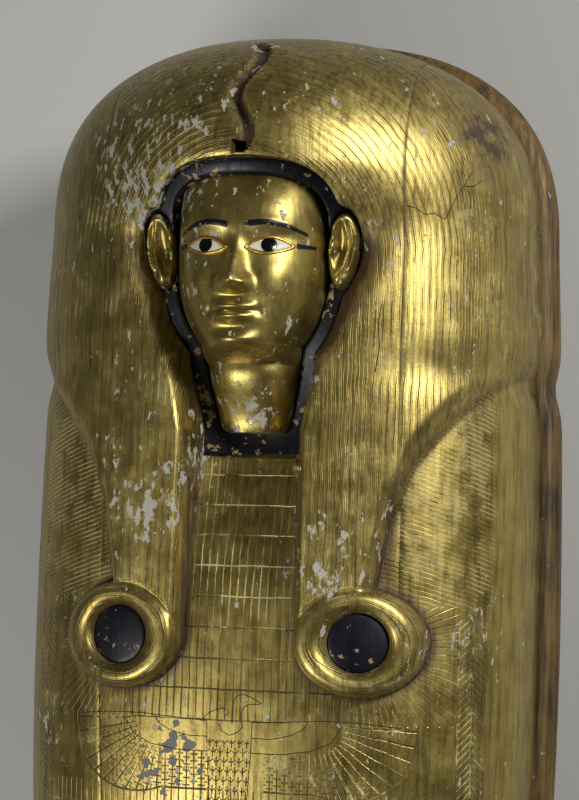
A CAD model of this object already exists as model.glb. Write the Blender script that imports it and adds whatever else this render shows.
"""Looks of a gilded wooden mummy case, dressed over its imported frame. Sizes are in millimetres."""

from functools import partial
import math

import bpy
import numpy as np
from mathutils import Matrix, Vector


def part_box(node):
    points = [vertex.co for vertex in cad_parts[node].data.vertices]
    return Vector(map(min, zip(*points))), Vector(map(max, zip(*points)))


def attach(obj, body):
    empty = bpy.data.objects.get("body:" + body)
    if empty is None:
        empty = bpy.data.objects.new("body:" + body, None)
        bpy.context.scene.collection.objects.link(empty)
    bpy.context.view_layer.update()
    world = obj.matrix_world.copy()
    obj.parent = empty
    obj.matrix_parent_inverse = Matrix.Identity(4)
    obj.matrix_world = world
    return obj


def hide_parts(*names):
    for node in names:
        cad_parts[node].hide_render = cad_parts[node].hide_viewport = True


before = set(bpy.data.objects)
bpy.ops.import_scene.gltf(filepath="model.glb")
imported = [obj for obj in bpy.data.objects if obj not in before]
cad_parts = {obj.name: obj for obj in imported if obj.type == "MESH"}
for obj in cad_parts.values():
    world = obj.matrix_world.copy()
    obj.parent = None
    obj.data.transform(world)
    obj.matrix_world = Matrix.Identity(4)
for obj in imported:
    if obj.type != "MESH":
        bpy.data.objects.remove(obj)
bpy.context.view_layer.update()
bpy.context.scene.view_settings.view_transform = "Standard"

# Camera: it looks down on the lid from a little to the figure's left, as the photograph does,
# through a long lens, with the crown at the top of the picture.
MM = 0.001
IMAGE_HEIGHT, FOCAL_PIXELS, SENSOR, CLIP_END = 800, 2200, 36, 100
AIM, DISTANCE = Vector((27.8, 586.2, 420)), 2653
azimuth, elevation, roll = (math.radians(a) for a in (13.37, -4.08, 1.77))
backward = Vector((math.sin(azimuth) * math.cos(elevation), math.sin(elevation),
                   math.cos(azimuth) * math.cos(elevation)))
level = (-backward).cross(Vector((0, 1, 0))).normalized()
upward = level.cross(-backward)
right = level * math.cos(roll) + upward * math.sin(roll)
up = upward * math.cos(roll) - level * math.sin(roll)
lens = bpy.data.cameras.new("view")
lens.sensor_fit = "VERTICAL"
lens.sensor_height = SENSOR
lens.lens = FOCAL_PIXELS * SENSOR / IMAGE_HEIGHT
lens.clip_end = CLIP_END
camera = bpy.data.objects.new("view", lens)
bpy.context.scene.collection.objects.link(camera)
turned = Matrix((right, up, backward)).transposed().to_4x4()
camera.matrix_world = Matrix.Translation((AIM + backward * DISTANCE) * MM) @ turned
bpy.context.scene.camera = camera

# Studio: a plain pale floor under the case, a big soft key light from the upper right, a weaker one
# from the lower left, and an even grey sky. Places and sizes of the lights are in metres.
FLOOR_COLOUR, FLOOR_ROUGHNESS, FLOOR_SIZE, FLOOR_DROP = "#B6B5B0", 0.9, 60, 0.5
LIGHTS = {"key": ((2.7, 2.0, 2.3), 1.0, 124), "fill": ((-1.3, -0.9, 2.7), 1.1, 54)}
LIGHT_AIM = Vector((0, 0.4, 0.4))
SKY_COLOUR, SKY_STRENGTH = "#D9DADC", 0.11


def tone(code):
    """The linear colour of a hex code, with alpha."""
    parts = [int(code[i:i + 2], 16) / 255 for i in (1, 3, 5)]
    return [c / 12.92 if c < 0.04045 else ((c + 0.055) / 1.055) ** 2.4 for c in parts] + [1]


bpy.ops.object.select_all(action="DESELECT")
bpy.ops.mesh.primitive_plane_add(size=FLOOR_SIZE, location=(0, 0, 0))
floor = bpy.context.object
floor.name = "floor"
floor.data.transform(Matrix.Translation((0, 0, -FLOOR_DROP * MM)))
floor_finish = bpy.data.materials.new("floor")
floor_finish.use_nodes = True
floor_shader = floor_finish.node_tree.nodes["Principled BSDF"]
floor_shader.inputs["Base Color"].default_value = tone(FLOOR_COLOUR)
floor_shader.inputs["Roughness"].default_value = FLOOR_ROUGHNESS
floor.data.materials.append(floor_finish)
for name, (place, size, power) in LIGHTS.items():
    lamp = bpy.data.lights.new(name, "AREA")
    lamp.size = size
    lamp.energy = power
    lamp_object = bpy.data.objects.new(name, lamp)
    bpy.context.scene.collection.objects.link(lamp_object)
    lamp_object.location = place
    lamp_object.rotation_euler = (LIGHT_AIM - Vector(place)).to_track_quat("-Z", "Y").to_euler()
world = bpy.data.worlds.new("studio")
bpy.context.scene.world = world
world.use_nodes = True
world.node_tree.nodes["Background"].inputs["Color"].default_value = tone(SKY_COLOUR)
world.node_tree.nodes["Background"].inputs["Strength"].default_value = SKY_STRENGTH

# Trough walls: two long side boards, a bowed head end and a foot board, of painted wood. They swell
# out under the rim, draw in to a flat underside and are hollowed to a rounded inside. Mortises in the
# rim take the lid's tenons, and bores through the sides take the pegs that lock them.
SIDES = ((1, "left"), (-1, "right"))
SEAM, PLAY = 0.1, 0.4


def span(node_name, axis):
    """Lowest and highest place of a frame node along an axis."""
    return [round(corner[axis] / MM, 2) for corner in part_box(node_name)]


HALF_LENGTH = -span("foot_end", 1)[0]
TROUGH_DEPTH = span("head_end", 2)[1]
FLOOR_THICK = span("floor_board_left", 2)[1]
FOOT_JOINT, HEAD_JOINT = span("foot_end", 1)[1] + SEAM, span("head_end", 1)[0] - SEAM
SHOULDER_HALF, HEAD_HALF, FOOT_HALF = 316, 304, 181
SHOULDER_Y, CROWN_Y, CROWN_LENGTH = 300, 796, 240
NOTCH_Y, NOTCH_DEPTH, NOTCH_REACH = 618, 8, 26
FOOT_ROUND, FOOT_EDGE = 40, 6
POWER, END_POWER = 2.4, 2.5     # roundness of every section, and of the crown seen from above
WALL, SWELL, BELLY_DEPTH, HOLLOW_DEPTH = 48, 24, 302, 257
BOW_LENGTH = 900
TENON_THICK, TENON_WIDE, TENON_DOWN = 14, 60, 72
LOCK_HOLE, LOCK_BORE, LOCK_BORE_OUT = 12, 90, 28
LOCK_Z = sum(span("lock_peg_left_1", 2)) / 2
TENON_Y = [sum(span(f"lock_peg_left_{i}", 1)) / 2 for i in (1, 2, 3, 4)]
ROLL_STEPS, OUTER_STEPS, INNER_STEPS = 8, 15, 14
WALL_ROWS, HEAD_ROWS, FOOT_ROWS, FLOOR_CROWD, FOOT_CROWD = 120, 100, 12, 1.6, 1.5
BORE_SIDES, SMOOTH, WELD, SLIVER = 32, 40, 0.02, 0.01
STREAK, STREAK_LONG, CLOUD = 9, 0.05, 90


def node(tree, kind, *inputs, out=None, **settings):
    """Adds a shader node, such as Math:ADD, fills its enabled inputs in order, and gives one output."""
    kind, _, operation = kind.partition(":")
    new = tree.nodes.new("ShaderNode" + kind)
    if operation:
        new.operation = operation
    for key, value in settings.items():
        setattr(new, key, value)
    for socket, value in zip([s for s in new.inputs if s.enabled], inputs):
        if isinstance(value, bpy.types.NodeSocket):
            tree.links.new(value, socket)
        elif value is not None:
            socket.default_value = value
    return new.outputs[out] if out else next(s for s in new.outputs if s.enabled)


def begin(name):
    """Starts a material: itself, its node adder, its shader, and a point's place in metres."""
    material = bpy.data.materials.new(name)
    material.use_nodes = True
    n = partial(node, material.node_tree)
    return material, n, material.node_tree.nodes["Principled BSDF"], n("TexCoord", out="Object")


def feed(shader, colour, metal, rough, normal):
    """Links what varies over a surface to its shader; what is None keeps the shader's own value."""
    sockets = {"Base Color": colour, "Metallic": metal, "Roughness": rough, "Normal": normal}
    for name, value in sockets.items():
        if value is not None:
            shader.id_data.links.new(value, shader.inputs[name])


def streaked(name, tones, rough, metal, chips, chip_size, width=STREAK, drawn_out=STREAK_LONG, relief=0.5):
    """A finish of two tones in streaks drawn out along the case, with chips of a third tone."""
    material, n, shader, place = begin(name)
    light, dark, chip = (tone(code) for code in tones)
    streak = n("TexNoise", n("Mapping", place, None, None, (1, drawn_out, 1)), 1000 / width, 5, 0.7)
    cloud = n("TexNoise", place, 1000 / CLOUD, 4, 0.6)
    shade = n("MapRange", n("Math:MULTIPLY_ADD", cloud, 0.5, streak), 0.55, 0.95, 0, 1)
    speck = n("Math:MULTIPLY_ADD", cloud, 0.5, n("TexNoise", place, 1000 / chip_size, 5, 0.62))
    flake = n("MapRange", speck, chips, chips + 0.02, 0, 1)
    colour = n("Mix", flake, n("Mix", shade, light, dark, data_type="RGBA"), chip, data_type="RGBA")
    height = n("Math:SUBTRACT", n("Math:MULTIPLY", streak, 0.6), n("Math:MULTIPLY", flake, 0.5))
    shine = n("MapRange", flake, 0, 1, metal, 0) if metal else None
    dull = n("MapRange", streak, 0.3, 0.7, rough, rough + 0.2)
    feed(shader, colour, shine, dull, n("Bump", relief, MM, None, height))
    return material


# Painted wood: gold wash and brown paint brushed along the boards. It gives long dull streaks with a
# faint metal glint, and pale chips where the ground shows.
PAINTED = streaked("painted_wood", ("#7C6230", "#241709", "#8F897A"),
                   rough=0.5, metal=0.35, chips=0.98, chip_size=16)


def ease(t):
    """Rises softly from 0 at t 0 to 1 at t 1."""
    t = np.clip(t, 0, 1)
    return t * t * (3 - 2 * t)


def mix(a, b, t):
    """The value at share t of the way from a to b."""
    return a + (b - a) * t


def bell(v, reach):
    """Falls softly from 1 at v 0, over a reach to both sides."""
    return np.exp(-(v / reach) ** 2)


def rounded(t, power):
    """Falls from 1 at t 0 to 0 at t 1 along a superellipse."""
    return np.clip(1 - np.clip(t, 0, 1) ** power, 0, 1) ** (1 / power)


def plan_half(y, grown=0, foot=0):
    """Half of the lid's width at y, grown outwards, with the foot end moved in by foot."""
    crown = (HEAD_HALF + grown) * rounded((y - CROWN_Y) / (CROWN_LENGTH + grown), END_POWER)
    chest = mix(SHOULDER_HALF, HEAD_HALF, ((y - SHOULDER_Y) / (CROWN_Y - SHOULDER_Y)) ** 2)
    turn = np.clip((y + HALF_LENGTH) / (SHOULDER_Y + HALF_LENGTH), 0, 1)
    body = mix(FOOT_HALF, SHOULDER_HALF, np.sin(math.pi / 2 * turn))
    run = np.clip(y + HALF_LENGTH - foot, 0, FOOT_ROUND)
    corner = FOOT_ROUND - np.sqrt(run * (2 * FOOT_ROUND - run))
    notch = NOTCH_DEPTH * bell(y - NOTCH_Y, NOTCH_REACH)
    return np.where(y > CROWN_Y, crown, np.where(y > SHOULDER_Y, chest, body) + grown - notch - corner)


def places(piece):
    """The corners of a piece: rows of x, y and z."""
    flat = np.empty(3 * len(piece.data.vertices))
    piece.data.vertices.foreach_get("co", flat)
    return flat.reshape(-1, 3).T / MM


def put(piece, x, y, z):
    """Moves the corners of a piece."""
    piece.data.vertices.foreach_set("co", (np.stack([x, y, z], 1) * MM).ravel())
    piece.data.update()


def pick(piece=None):
    """Selects one piece alone, or nothing."""
    bpy.ops.object.select_all(action="DESELECT")
    if piece:
        piece.select_set(True)
        bpy.context.view_layer.objects.active = piece


def shaped_grid(name, columns, rows, place):
    """Adds a grid and puts its corner in column i and row j at place(i, j)."""
    pick()
    bpy.ops.mesh.primitive_grid_add(x_subdivisions=columns, y_subdivisions=rows, size=2)
    piece = bpy.context.object
    piece.name = piece.data.name = name
    i, j = (np.unique(np.round(line, 3), return_inverse=True)[1] for line in places(piece)[:2])
    spots = place(*np.meshgrid(np.arange(i.max() + 1), np.arange(j.max() + 1)))
    put(piece, *(np.broadcast_to(spot, (j.max() + 1, i.max() + 1))[j, i] for spot in spots))
    return piece


def edit(piece, *steps):
    """Runs edit mode operators on all of a piece."""
    pick(piece)
    bpy.ops.object.mode_set(mode="EDIT")
    for step in steps:
        bpy.ops.mesh.select_all(action="SELECT")
        step()
    bpy.ops.object.mode_set(mode="OBJECT")


def smooth(angle):
    bpy.ops.object.shade_smooth_by_angle(angle=math.radians(angle))


def close(piece, angle=SMOOTH):
    """Welds a piece's seams, caps its open ends, turns its faces outwards and smooths it."""
    edit(piece, lambda: bpy.ops.mesh.remove_doubles(threshold=WELD * MM),
         lambda: bpy.ops.mesh.dissolve_degenerate(threshold=SLIVER * MM),
         lambda: bpy.ops.mesh.fill_holes(sides=0),
         lambda: bpy.ops.mesh.normals_make_consistent(inside=False))
    smooth(angle)


def cut(piece, cutter):
    """Takes a cutter's space out of a piece, and the cutter away."""
    modifier = piece.modifiers.new("cut", "BOOLEAN")
    modifier.object = cutter
    modifier.solver = "EXACT"
    pick(piece)
    bpy.ops.object.modifier_apply(modifier="cut")
    bpy.data.objects.remove(cutter)


def block_cutter(middle, size):
    """A box to cut with, by its middle and its size."""
    pick()
    bpy.ops.mesh.primitive_cube_add(size=1, location=Vector(middle) * MM, scale=Vector(size) * MM)
    return bpy.context.object


def dress(piece, body, slot, nodes, *finishes):
    """Hands a finished piece its materials, body, slot and the frame nodes it stands for."""
    for finish in finishes:
        piece.data.materials.append(finish)
    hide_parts(*nodes)
    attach(piece, body)


def narrowed(z, deep):
    """Share of the full width that the trough's round section keeps at a height."""
    return (1 - ((TROUGH_DEPTH - z) / deep) ** POWER) ** (1 / POWER)


# the section of a wall: down the swelling outside, under, and up the hollowed inside
turns = np.linspace(0, math.pi / 2, ROLL_STEPS + 1)
outer_z = np.concatenate([TROUGH_DEPTH - SWELL * (1 - np.cos(turns)),
                          np.linspace(TROUGH_DEPTH - SWELL, 0, OUTER_STEPS + 1)[1:]])
outer_grown = np.concatenate([SWELL * np.sin(turns), np.full(OUTER_STEPS, SWELL)])
inner_z = FLOOR_THICK + (TROUGH_DEPTH - FLOOR_THICK) * np.linspace(0, 1, INNER_STEPS + 1) ** FLOOR_CROWD
loop_z = np.concatenate([outer_z, [0], inner_z, [TROUGH_DEPTH]])
loop_grown = np.concatenate([outer_grown, np.full(len(inner_z) + 1, -WALL), [0]])
loop_share = np.concatenate([narrowed(outer_z, BELLY_DEPTH), [narrowed(FLOOR_THICK, HOLLOW_DEPTH)],
                             narrowed(inner_z, HOLLOW_DEPTH), [1]])
loop_foot = np.where(loop_grown < 0, FOOT_JOINT + HALF_LENGTH, 0)


def side_place(sign, i, j):
    y = mix(FOOT_JOINT + SEAM, HEAD_JOINT - SEAM, j / WALL_ROWS)
    return sign * plan_half(y, loop_grown[i], loop_foot[i]) * loop_share[i], y, loop_z[i]


def head_place(i, j):
    flank = (CROWN_Y - HEAD_JOINT) / (2 * (CROWN_Y - HEAD_JOINT) + BOW_LENGTH)
    t = j / HEAD_ROWS
    straight = (t < flank) | (t > 1 - flank)
    flank_y = mix(HEAD_JOINT + SEAM, CROWN_Y, np.minimum(t, 1 - t) / flank)
    angle = math.pi * np.clip((t - flank) / (1 - 2 * flank), 0, 1)
    bow_x = (HEAD_HALF + loop_grown[i]) * np.abs(np.cos(angle)) ** (2 / END_POWER)
    bow_y = (CROWN_LENGTH + loop_grown[i]) * np.abs(np.sin(angle)) ** (2 / END_POWER)
    x = np.where(straight, plan_half(np.minimum(flank_y, CROWN_Y), loop_grown[i]), bow_x)
    y = np.where(straight, flank_y, CROWN_Y + bow_y * loop_share[i])
    return np.where(t < 0.5, 1, -1) * x * loop_share[i], y, loop_z[i]


def foot_place(i, j):
    levels = len(outer_z)
    i = i % (2 * levels)
    k = np.where(i < levels, i, 2 * levels - 1 - i)
    y = mix(-HALF_LENGTH, FOOT_JOINT - SEAM, (j / FOOT_ROWS) ** FOOT_CROWD)
    near = np.clip(1 - (y + HALF_LENGTH) / FOOT_EDGE, 0, 1)
    shrink = FOOT_EDGE * (1 - np.sqrt(1 - near ** 2))
    half = plan_half(y, outer_grown[k]) * narrowed(outer_z[k], BELLY_DEPTH) - shrink
    return np.where(i < levels, 1, -1) * half, y, outer_z[k]


for sign, side in SIDES:
    wall = shaped_grid(f"trough_side_{side}", len(loop_z) - 1, WALL_ROWS, partial(side_place, sign))
    close(wall)
    for y in TENON_Y:
        middle = sign * (float(plan_half(np.array(y))) - WALL / 2)
        cut(wall, block_cutter((middle, y, TROUGH_DEPTH), (TENON_THICK + PLAY, TENON_WIDE + PLAY,
                                                           2 * (TENON_DOWN + PLAY))))
        pick()
        bpy.ops.mesh.primitive_cylinder_add(
            radius=(LOCK_HOLE + PLAY) / 2 * MM, depth=LOCK_BORE * MM, vertices=BORE_SIDES,
            location=Vector((middle + sign * LOCK_BORE_OUT, y, LOCK_Z)) * MM, rotation=(0, math.pi / 2, 0))
        cut(wall, bpy.context.object)
    smooth(SMOOTH)
    dress(wall, "trough", "painted_wood", [f"side_{side}"], PAINTED)
for name, node_name, columns, rows, place in (
        ("trough_head", "head_end", len(loop_z) - 1, HEAD_ROWS, head_place),
        ("trough_foot", "foot_end", 2 * len(outer_z), FOOT_ROWS, foot_place)):
    end_board = shaped_grid(name, columns, rows, place)
    close(end_board)
    dress(end_board, "trough", "painted_wood", [node_name], PAINTED)

# Lid, middle plank: the broadest of the three planks of a vaulted lid, of gilded wood, hollowed below.
# The wig is carved proud of the body with a rounded lower edge. An opening is sunk in it for the face,
# and a slot and a winding groove are left from a lost ornament over the forehead.
RIM = span("lid_centre_plank", 2)[0]
CHEST_HEIGHT, HEAD_HEIGHT, SHIN_HEIGHT, TOE_HEIGHT = 250, 244, 170, 255
CHEST_Y, PEAK_Y, SHIN_Y, TOE_Y = 250, 846, -730, -1000
CROWN_END = CROWN_Y + CROWN_LENGTH
WIG_RISE, WIG_SIDE = 34, 4
HOOD, HOOD_REACH, HOOD_FROM, HOOD_RUN = 44, 150, 764, 90
DIP, DIP_Y, DIP_REACH, DIP_LENGTH = 52, 542, 110, 125
LID_THICK, LID_FOOT, HEAD_DEEPER = 60, 72, 40
EDGE_INNER, EDGE_OUTER, EDGE_HIGH, EDGE_LOW, EDGE_SLOPE, EDGE_RUN = 63, 178, 516, 486, 1.62, 200
EDGE_UNDER, EDGE_UNDER_FROM, EDGE_UNDER_RUN = 20, -14, 30
ROLL, ROLL_FOOT, ROLL_POWER = 24, 4, 2.5
GAP_HALF, GAP_STEP, GAP_TOP = 55, 4, 700
FOOT_BLOCK_Y = span("lid_foot_block", 1)[1] + SEAM
JOINT_FOOT, JOINT_CHEST = 110, 180
JOINT_WORN, JOINT_WORN_WIDE = 0.8, 3
OPENING_WORN, OPENING_WORN_WIDE = 2.5, 8
OPENING_Y, OPENING_SIDES, OPENING_TALL, OPENING_SINK = 690, 720, 400, 2
OPENING_LEAST, OPENING_MOST, HALVINGS = 20.0, 260.0, 30

# Outlines of the face and neck, the dark border round them, and the ears, and the wig's slope down to
# them. Heights on the face count from the brow, in units a little under a millimetre.
UNIT, BROW_Y, FACE_HALF, OUTLINE_LOW_STEPS, OUTLINE_TOP_STEPS = 0.9375, 774, 94, 70, 40
HAIRLINE, JAW_START, JAW_LENGTH, TOP_POWER, JAW_POWER = 66, -34, 134, 3, 2.3
NECK_HALF, NECK_LOW_HALF, NECK_FROM, NECK_RUN, NECK_ROUND = 60, 43, -140, 120, 13
NECK_END, BAR_END, BAR_HALF, BORDER = span("face_mask", 1)[0], 516, 60, 17
FACE_SEAT = span("face_mask", 2)[0] - SEAM
FACE_LOW = (NECK_END - BROW_Y) / UNIT
EAR_X, EAR_Y = (sum(span("ear_left", axis)) / 2 for axis in (0, 1))
EAR_HALF, EAR_LONG, EAR_LEAN, EAR_MARGIN, EAR_FILLET = 20, 46, math.radians(6), 2, 8
EAR_NARROWS, EAR_NARROWS_AT = 0.14, -0.4
SLOPE_LOW, SLOPE_HIGH, SLOPE_SHARE, SLOPE_X, SLOPE_FROM, SLOPE_FADE = 20, 46, 0.85, 200, 805, 70
SLOPE_WIDENS_FROM, SLOPE_WIDENS_RUN = 590, 90

# Groove and slot of the lost ornament, and the outline of a lappet: a strip, and a curl round a disc
GROOVE_FROM, GROOVE_TO, GROOVE_WIDE, GROOVE_DEEP, GROOVE_SWAY, GROOVE_BENDS = 855.9, 1002, 16, 10, 9, 3
GROOVE_START, GROOVE_FINISH = 0.04, 0.05
RIPPLE, RIPPLE_RUN, RIPPLE_WIDE = 1.2, 6.5, 4
MORTISE, MORTISE_TALL = 15, 200
CURL_X, CURL_Y = (sum(span("curl_disc_left", axis)) / 2 for axis in (0, 1))
CURL_HALF, CURL_LONG, DISC = 76, 64, 33
STRIP = [(EDGE_INNER, EDGE_HIGH), (EDGE_OUTER, EDGE_LOW),
         (CURL_X + 0.2 * CURL_HALF, CURL_Y + 0.95 * CURL_LONG), (CURL_X, CURL_Y), (EDGE_INNER + 4, CURL_Y)]

# Gold leaf on a white ground, burnished, then cut with lines. It gives a deep yellow metal that drifts
# from bright to brown, pale flakes where the leaf is lost, and dark or pale dirt in the cuts.
GOLD_LIGHT, GOLD_DEEP, PATINA, DIRT = "#B8A660", "#806B2F", "#423214", "#301709"
GESSO, CUT_DARK, CUT_PALE, BARED = "#A09C8E", "#1A1107", "#C4B886", "#63615C"
LEAF_METAL = 0.92
DRIFT, PATCH, FINE, GRAIN, GRAIN_LONG = 240, 38, 5, 6, 0.07
SPECK, SPECK_LONG, CLUSTER, HURT = 11, 0.5, 120, 13
# places on the skin: across, along and reach, and for flakes how many more of them there are
STAIN, HURT_SPOT = (300, 900, 75), (-82, 160, 62)
FLAKED = ((-115, 440, 120, 0.09), (105, 370, 75, 0.09), (-118, 870, 115, 0.15), (95, 905, 85, 0.14),
          (265, 700, 90, 0.08), (0, 590, 75, 0.08), (55, 670, 60, 0.07))
FAR = 2000


def stroke(n, coordinate, spacing, width, mask=1.0):
    """Lines of a width at every spacing of a coordinate: 1 on a line, else 0."""
    off = n("Math:ABSOLUTE", n("Math:SUBTRACT", n("Math:FRACT", n("Math:DIVIDE", coordinate, spacing)), 0.5))
    share = width / spacing
    line = n("MapRange", off, 0.25 * share, 0.75 * share, 1, 0, interpolation_type="SMOOTHSTEP")
    return n("Math:MULTIPLY", line, mask)


def between(n, value, low, high, soft=1.0):
    """1 where a value lies between two bounds, else 0."""
    up = n("MapRange", value, low - soft / 2, low + soft / 2, 0, 1)
    return n("Math:MULTIPLY", up, n("MapRange", value, high - soft / 2, high + soft / 2, 1, 0))


def single(n, value, middle, half):
    """One line where a value passes a middle: 1 within half of it, else 0."""
    return between(n, n("Math:ABSOLUTE", n("Math:SUBTRACT", value, middle)), -1, half)


def spot(n, across, along, a, y, reach):
    """1 at a place of the skin, falling to 0 at a distance from it."""
    far_a, far_y = n("Math:SUBTRACT", across, a), n("Math:SUBTRACT", along, y)
    far = n("Math:SQRT", n("Math:MULTIPLY_ADD", far_a, far_a, n("Math:MULTIPLY", far_y, far_y)))
    return n("MapRange", far, 0, reach, 1, 0)


def gild(name, lines, flaking, wear, pale_from):
    """Gold leaf with a pattern of cut lines; flaking is the level past which the leaf is lost."""
    material, n, shader, place = begin(name)
    drift = n("TexNoise", place, 1000 / DRIFT, 3, 0.5)
    patch = n("TexNoise", place, 1000 / PATCH, 5, 0.65)
    fine = n("TexNoise", place, 1000 / FINE, 4, 0.6)
    grain = n("TexNoise", n("Mapping", place, None, None, (1, GRAIN_LONG, 1)), 1000 / GRAIN, 5, 0.65)
    across, along, recess = (n("Attribute", attribute_name=key) for key in ("across", "along", "recess"))
    # the leaf's own tones
    bright = n("MapRange", patch, 0.3, 0.7, 0.3, 0.9)
    colour = n("Mix", bright, tone(GOLD_DEEP), tone(GOLD_LIGHT), data_type="RGBA")
    for noise, low, high, amount in ((drift, 0.48, 0.75, 0.4), (grain, 0.46, 0.7, 0.7)):
        tarnish = n("MapRange", noise, low, high, 0, amount * wear)
        colour = n("Mix", tarnish, colour, tone(PATINA), data_type="RGBA")
    # cut lines, filled with dark dirt or with pale ground, and dirt in recesses
    cuts = lines(n, place) if lines else 0.0
    pale = n("Math:MULTIPLY_ADD", n("MapRange", along, pale_from, pale_from + 60, 0, 1), 0.12, patch)
    pale = n("MapRange", pale, 0.54, 0.64, 0, 0.9)
    filling = n("Mix", pale, tone(CUT_DARK), tone(CUT_PALE), data_type="RGBA")
    colour = n("Mix", n("Math:MULTIPLY", cuts, 0.92), colour, filling, data_type="RGBA")
    stain = n("Math:MULTIPLY", spot(n, across, along, *STAIN), n("MapRange", patch, 0.35, 0.6, 0, 2))
    lodged = n("Math:MULTIPLY", recess, n("MapRange", grain, 0.3, 0.6, 0.6, 1.1))
    dirty = n("Math:MINIMUM", n("Math:MAXIMUM", lodged, stain), 0.93)
    colour = n("Mix", dirty, colour, tone(DIRT), data_type="RGBA")
    # flakes, thicker in a few places, and a patch on the belly that is bared to the wood
    speck = n("TexNoise", n("Mapping", place, None, None, (1, SPECK_LONG, 1)), 1000 / SPECK, 6, 0.66)
    cluster = n("Math:MULTIPLY_ADD", n("TexNoise", place, 1000 / CLUSTER, 2, 0.5), 0.45, speck)
    for a, y, reach, more in FLAKED:
        cluster = n("Math:MULTIPLY_ADD", spot(n, across, along, a, y, reach), more, cluster)
    flake = n("MapRange", cluster, flaking, flaking + 0.02, 0, 1)
    colour = n("Mix", flake, colour, tone(GESSO), data_type="RGBA")
    near = spot(n, across, along, *HURT_SPOT)
    hurt = n("Math:MULTIPLY_ADD", near, 0.24, n("TexNoise", place, 1000 / HURT, 2, 0.4))
    bared = n("Math:MULTIPLY", n("MapRange", hurt, 0.7, 0.715, 0, 1), n("MapRange", near, 0, 0.2, 0, 1))
    colour = n("Mix", bared, colour, tone(BARED), data_type="RGBA")
    loss = n("Math:MAXIMUM", n("Math:MULTIPLY", cuts, 0.7), dirty)
    loss = n("Math:MAXIMUM", n("Math:MAXIMUM", flake, bared), loss)
    rough = n("Math:MULTIPLY_ADD", loss, 0.3, n("MapRange", patch, 0.3, 0.7, 0.3, 0.45))
    height = n("Math:MULTIPLY_ADD", fine, 0.25, n("Math:MULTIPLY", grain, 0.4))
    height = n("Math:SUBTRACT", height, n("Math:MULTIPLY_ADD", cuts, 0.8, n("Math:MULTIPLY", flake, 0.6)))
    feed(shader, colour, n("MapRange", loss, 0, 1, LEAF_METAL, 0), rough, n("Bump", 0.6, MM, None, height))
    return material


# spacing and width of the cut lines, and the bounds of their fields across and along the skin
STRAND, STRAND_CUT, FINE_STRAND, FINE_CUT = 9, 1.2, 4.5, 0.8
STRAND_WANDER, STRAND_SWAY, STRAND_WORN = 45, 8, 55
LINE_WANDER, LINE_SWAY, LINE_WORN = 30, 3, 60
ROD, ROD_CUT, ROW, ROW_CUT, RODS_FADE = 9, 1.3, 35.6, 1.5, (330, 470)
WINGS_Y, LOW_ROWS, CHEST_HALF = 207, (60, 127), 132
FAN_RADIUS, FAN_TOP = 110, 345
SLANT, SLANT_CUT, SLANT_LEAN, SLANT_SIDES, SLANT_SOFT = 5.6, 1.1, 0.28, (150, 310), 20
WING_LOW, WING_IN, WING_BEND, WING_QUILL, WING_ARM = 100, 34, 90, 62, 36
WING_REACH, WING_TIP, WING_RUN, BARB, BARB_CUT, BARB_SHIFT = 80, 122, 110, 8, 1.2, 4
SCALE_WIDE, SCALE_SIDE_CUT, SCALE_TALL, SCALE_CUT, SCALE_SAG = 9, 1.1, 11, 1.3, 14
TRUNK_Y, TRUNK_X = (60, 185), (-33, 16)
FLANK, FLANK_WIDE, FLANK_TOP, CHEVRON, CHEVRON_LEAN, RAIL_HALF = 262, 20, 330, 8.5, 0.8, 0.8
LEGS, LEG_SIDES, LEG_RAILS, LEG_RAIL_HALF = (-870, 60), (50, 260), (44, 50), 0.9
QUILL, QUILL_CUT, QUILL_LEAN, LEG_BARB_LEAN = 42, 2.0, 0.5, -1.1


def hair_lines(n, place):
    """Wavy strands of the wig, worn away in places."""
    wander = n("TexNoise", place, 1000 / STRAND_WANDER, 3, 0.5)
    strand = n("Math:MULTIPLY_ADD", wander, STRAND_SWAY, n("Attribute", attribute_name="strand"))
    left = n("MapRange", n("TexNoise", place, 1000 / STRAND_WORN, 3, 0.5), 0.4, 0.56, 0.1, 0.9)
    fine = stroke(n, strand, FINE_STRAND, FINE_CUT, 0.25)
    return n("Math:MAXIMUM", stroke(n, strand, STRAND, STRAND_CUT, left), fine)


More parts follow.
